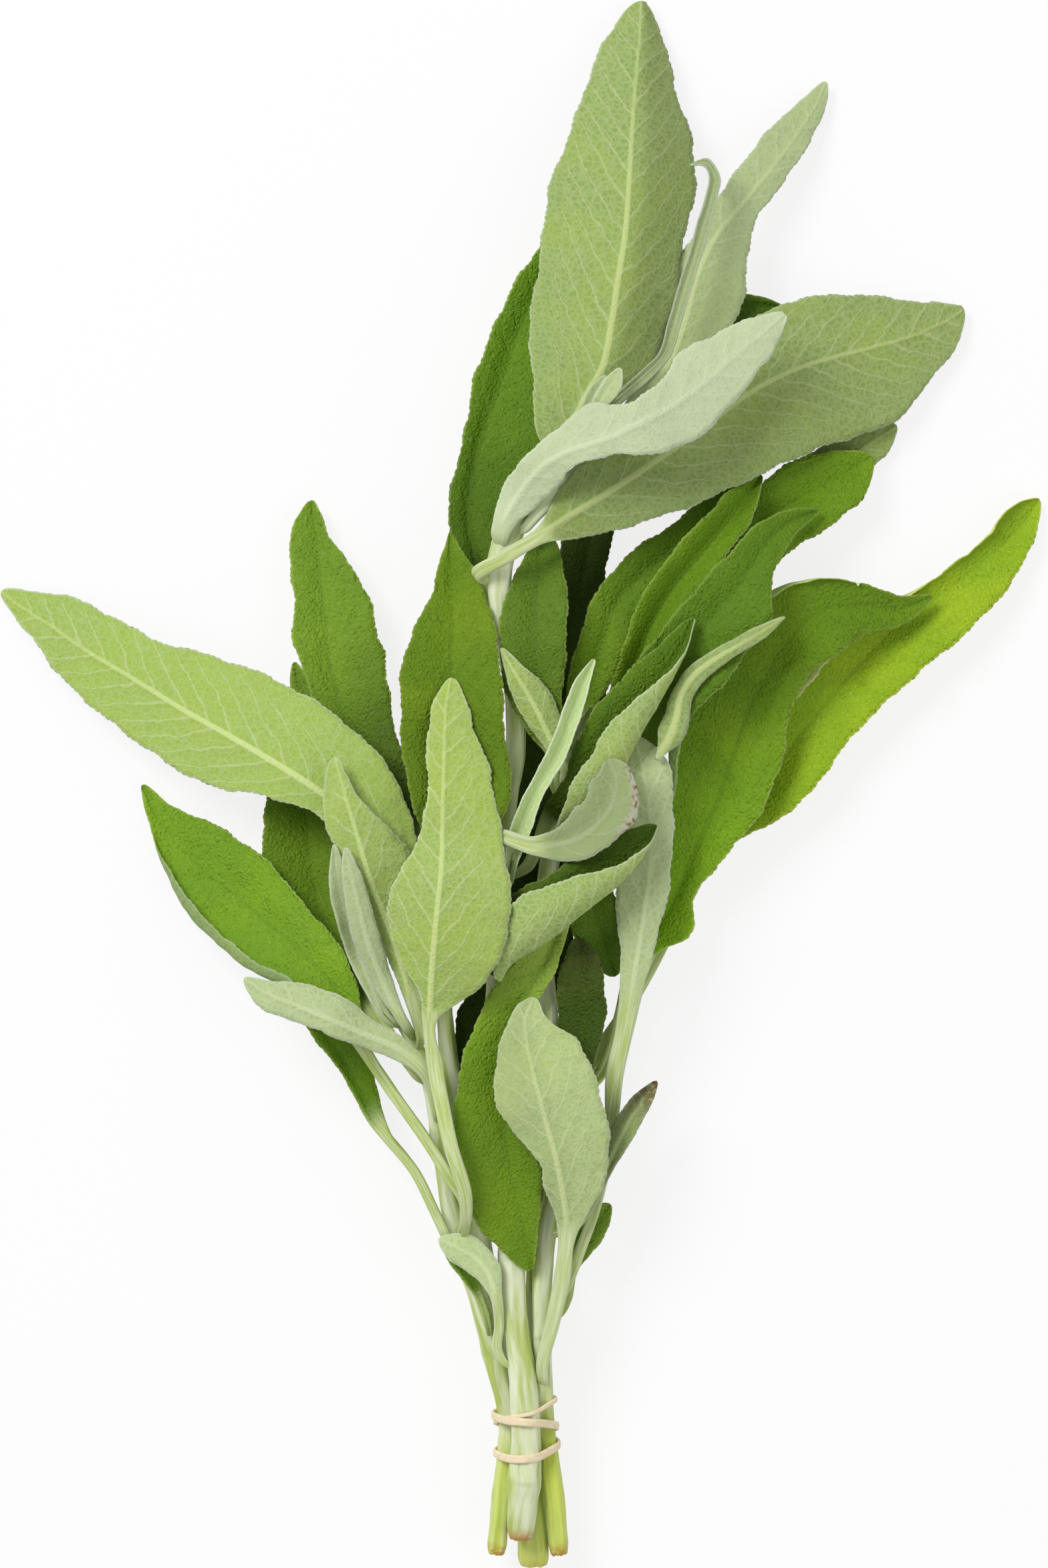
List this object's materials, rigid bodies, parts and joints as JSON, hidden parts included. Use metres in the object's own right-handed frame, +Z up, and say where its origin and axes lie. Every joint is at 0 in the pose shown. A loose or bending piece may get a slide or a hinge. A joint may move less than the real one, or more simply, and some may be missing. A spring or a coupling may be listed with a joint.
{
  "type": "sage bunch",
  "caption": "Fresh cut sage lying on its side: leafy sprigs with toothed, veined leaves, their bare stems held together by a rubber band.",
  "frame": {"origin": "middle of the foot of the bunch's bounding box, on the surface that it lies on", "axes": "+Y along the bunch from the cut ends to the leaf tips, +X across it to the right seen from above, +Z up out of the surface"},
  "size_m": [0.1864, 0.2812, 0.0343],
  "materials": {
    "leaf_upper": "matte mid green, finely pebbled between sunken veins, short soft hair",
    "leaf_dark": "matte dark green, finely pebbled between sunken veins, short soft hair",
    "leaf_under": "felted light yellow-green with raised pale veins",
    "leaf_young": "felted silvery green, dense short hair",
    "stem": "pale green square stem under whitish down, moist cut ends",
    "rubber_band": "tan natural rubber, satin"
  },
  "bodies": {
    "root": {"long_right_leaf": "leaf_upper", "crown_back_leaf": "leaf_dark", "hidden_upright_leaf": "leaf_dark", "notch_leaf": "leaf_dark", "back_tip_leaf": "leaf_under", "east_leaf": "leaf_upper", "upper_east_leaf": "leaf_upper", "inner_upright_leaf": "leaf_dark", "centre_fan_leaf": "leaf_dark", "folded_fan_leaf": "leaf_upper", "twisted_leaf": "leaf_dark", "hanging_leaf": "leaf_dark", "olive_leaf": "leaf_dark", "low_right_leaf": "leaf_dark", "low_left_back_leaf": "leaf_dark", "narrow_dark_leaf": "leaf_dark", "west_back_leaf": "leaf_dark", "small_west_leaf": "leaf_dark", "north_west_leaf": "leaf_dark", "small_pale_leaf": "leaf_under", "north_east_leaf": "leaf_under", "crown_leaf": "leaf_under", "hooked_leaf": "leaf_young", "silver_leaf": "leaf_young", "ribbon_leaf": "leaf_under", "dark_folded_leaf": "leaf_dark", "slender_leaf": "leaf_young", "drooping_leaf": "leaf_upper", "pocket_leaf": "leaf_dark", "curled_leaf": "leaf_young", "west_leaf": "leaf_under", "centre_leaf": "leaf_upper", "lower_west_leaf": "leaf_upper", "pale_folded_leaf": "leaf_under", "young_left_leaf": "leaf_young", "young_right_leaf": "leaf_young", "pale_west_leaf": "leaf_young", "front_leaf": "leaf_under", "browned_leaf": "leaf_under", "low_front_leaf": "leaf_under", "low_left_leaf": "leaf_young", "broad_east_leaf": "leaf_under", "bud_leaf_left": "leaf_young", "bud_leaf_right": "leaf_young", "young_crown_leaf": "leaf_young", "right_sprig_stem": "stem", "lower_sprig_stem": "stem", "hidden_sprig_stem": "stem", "left_sprig_stem": "stem", "crown_sprig_stem": "stem", "rubber_band": "rubber_band"}
  },
  "joints": []
}
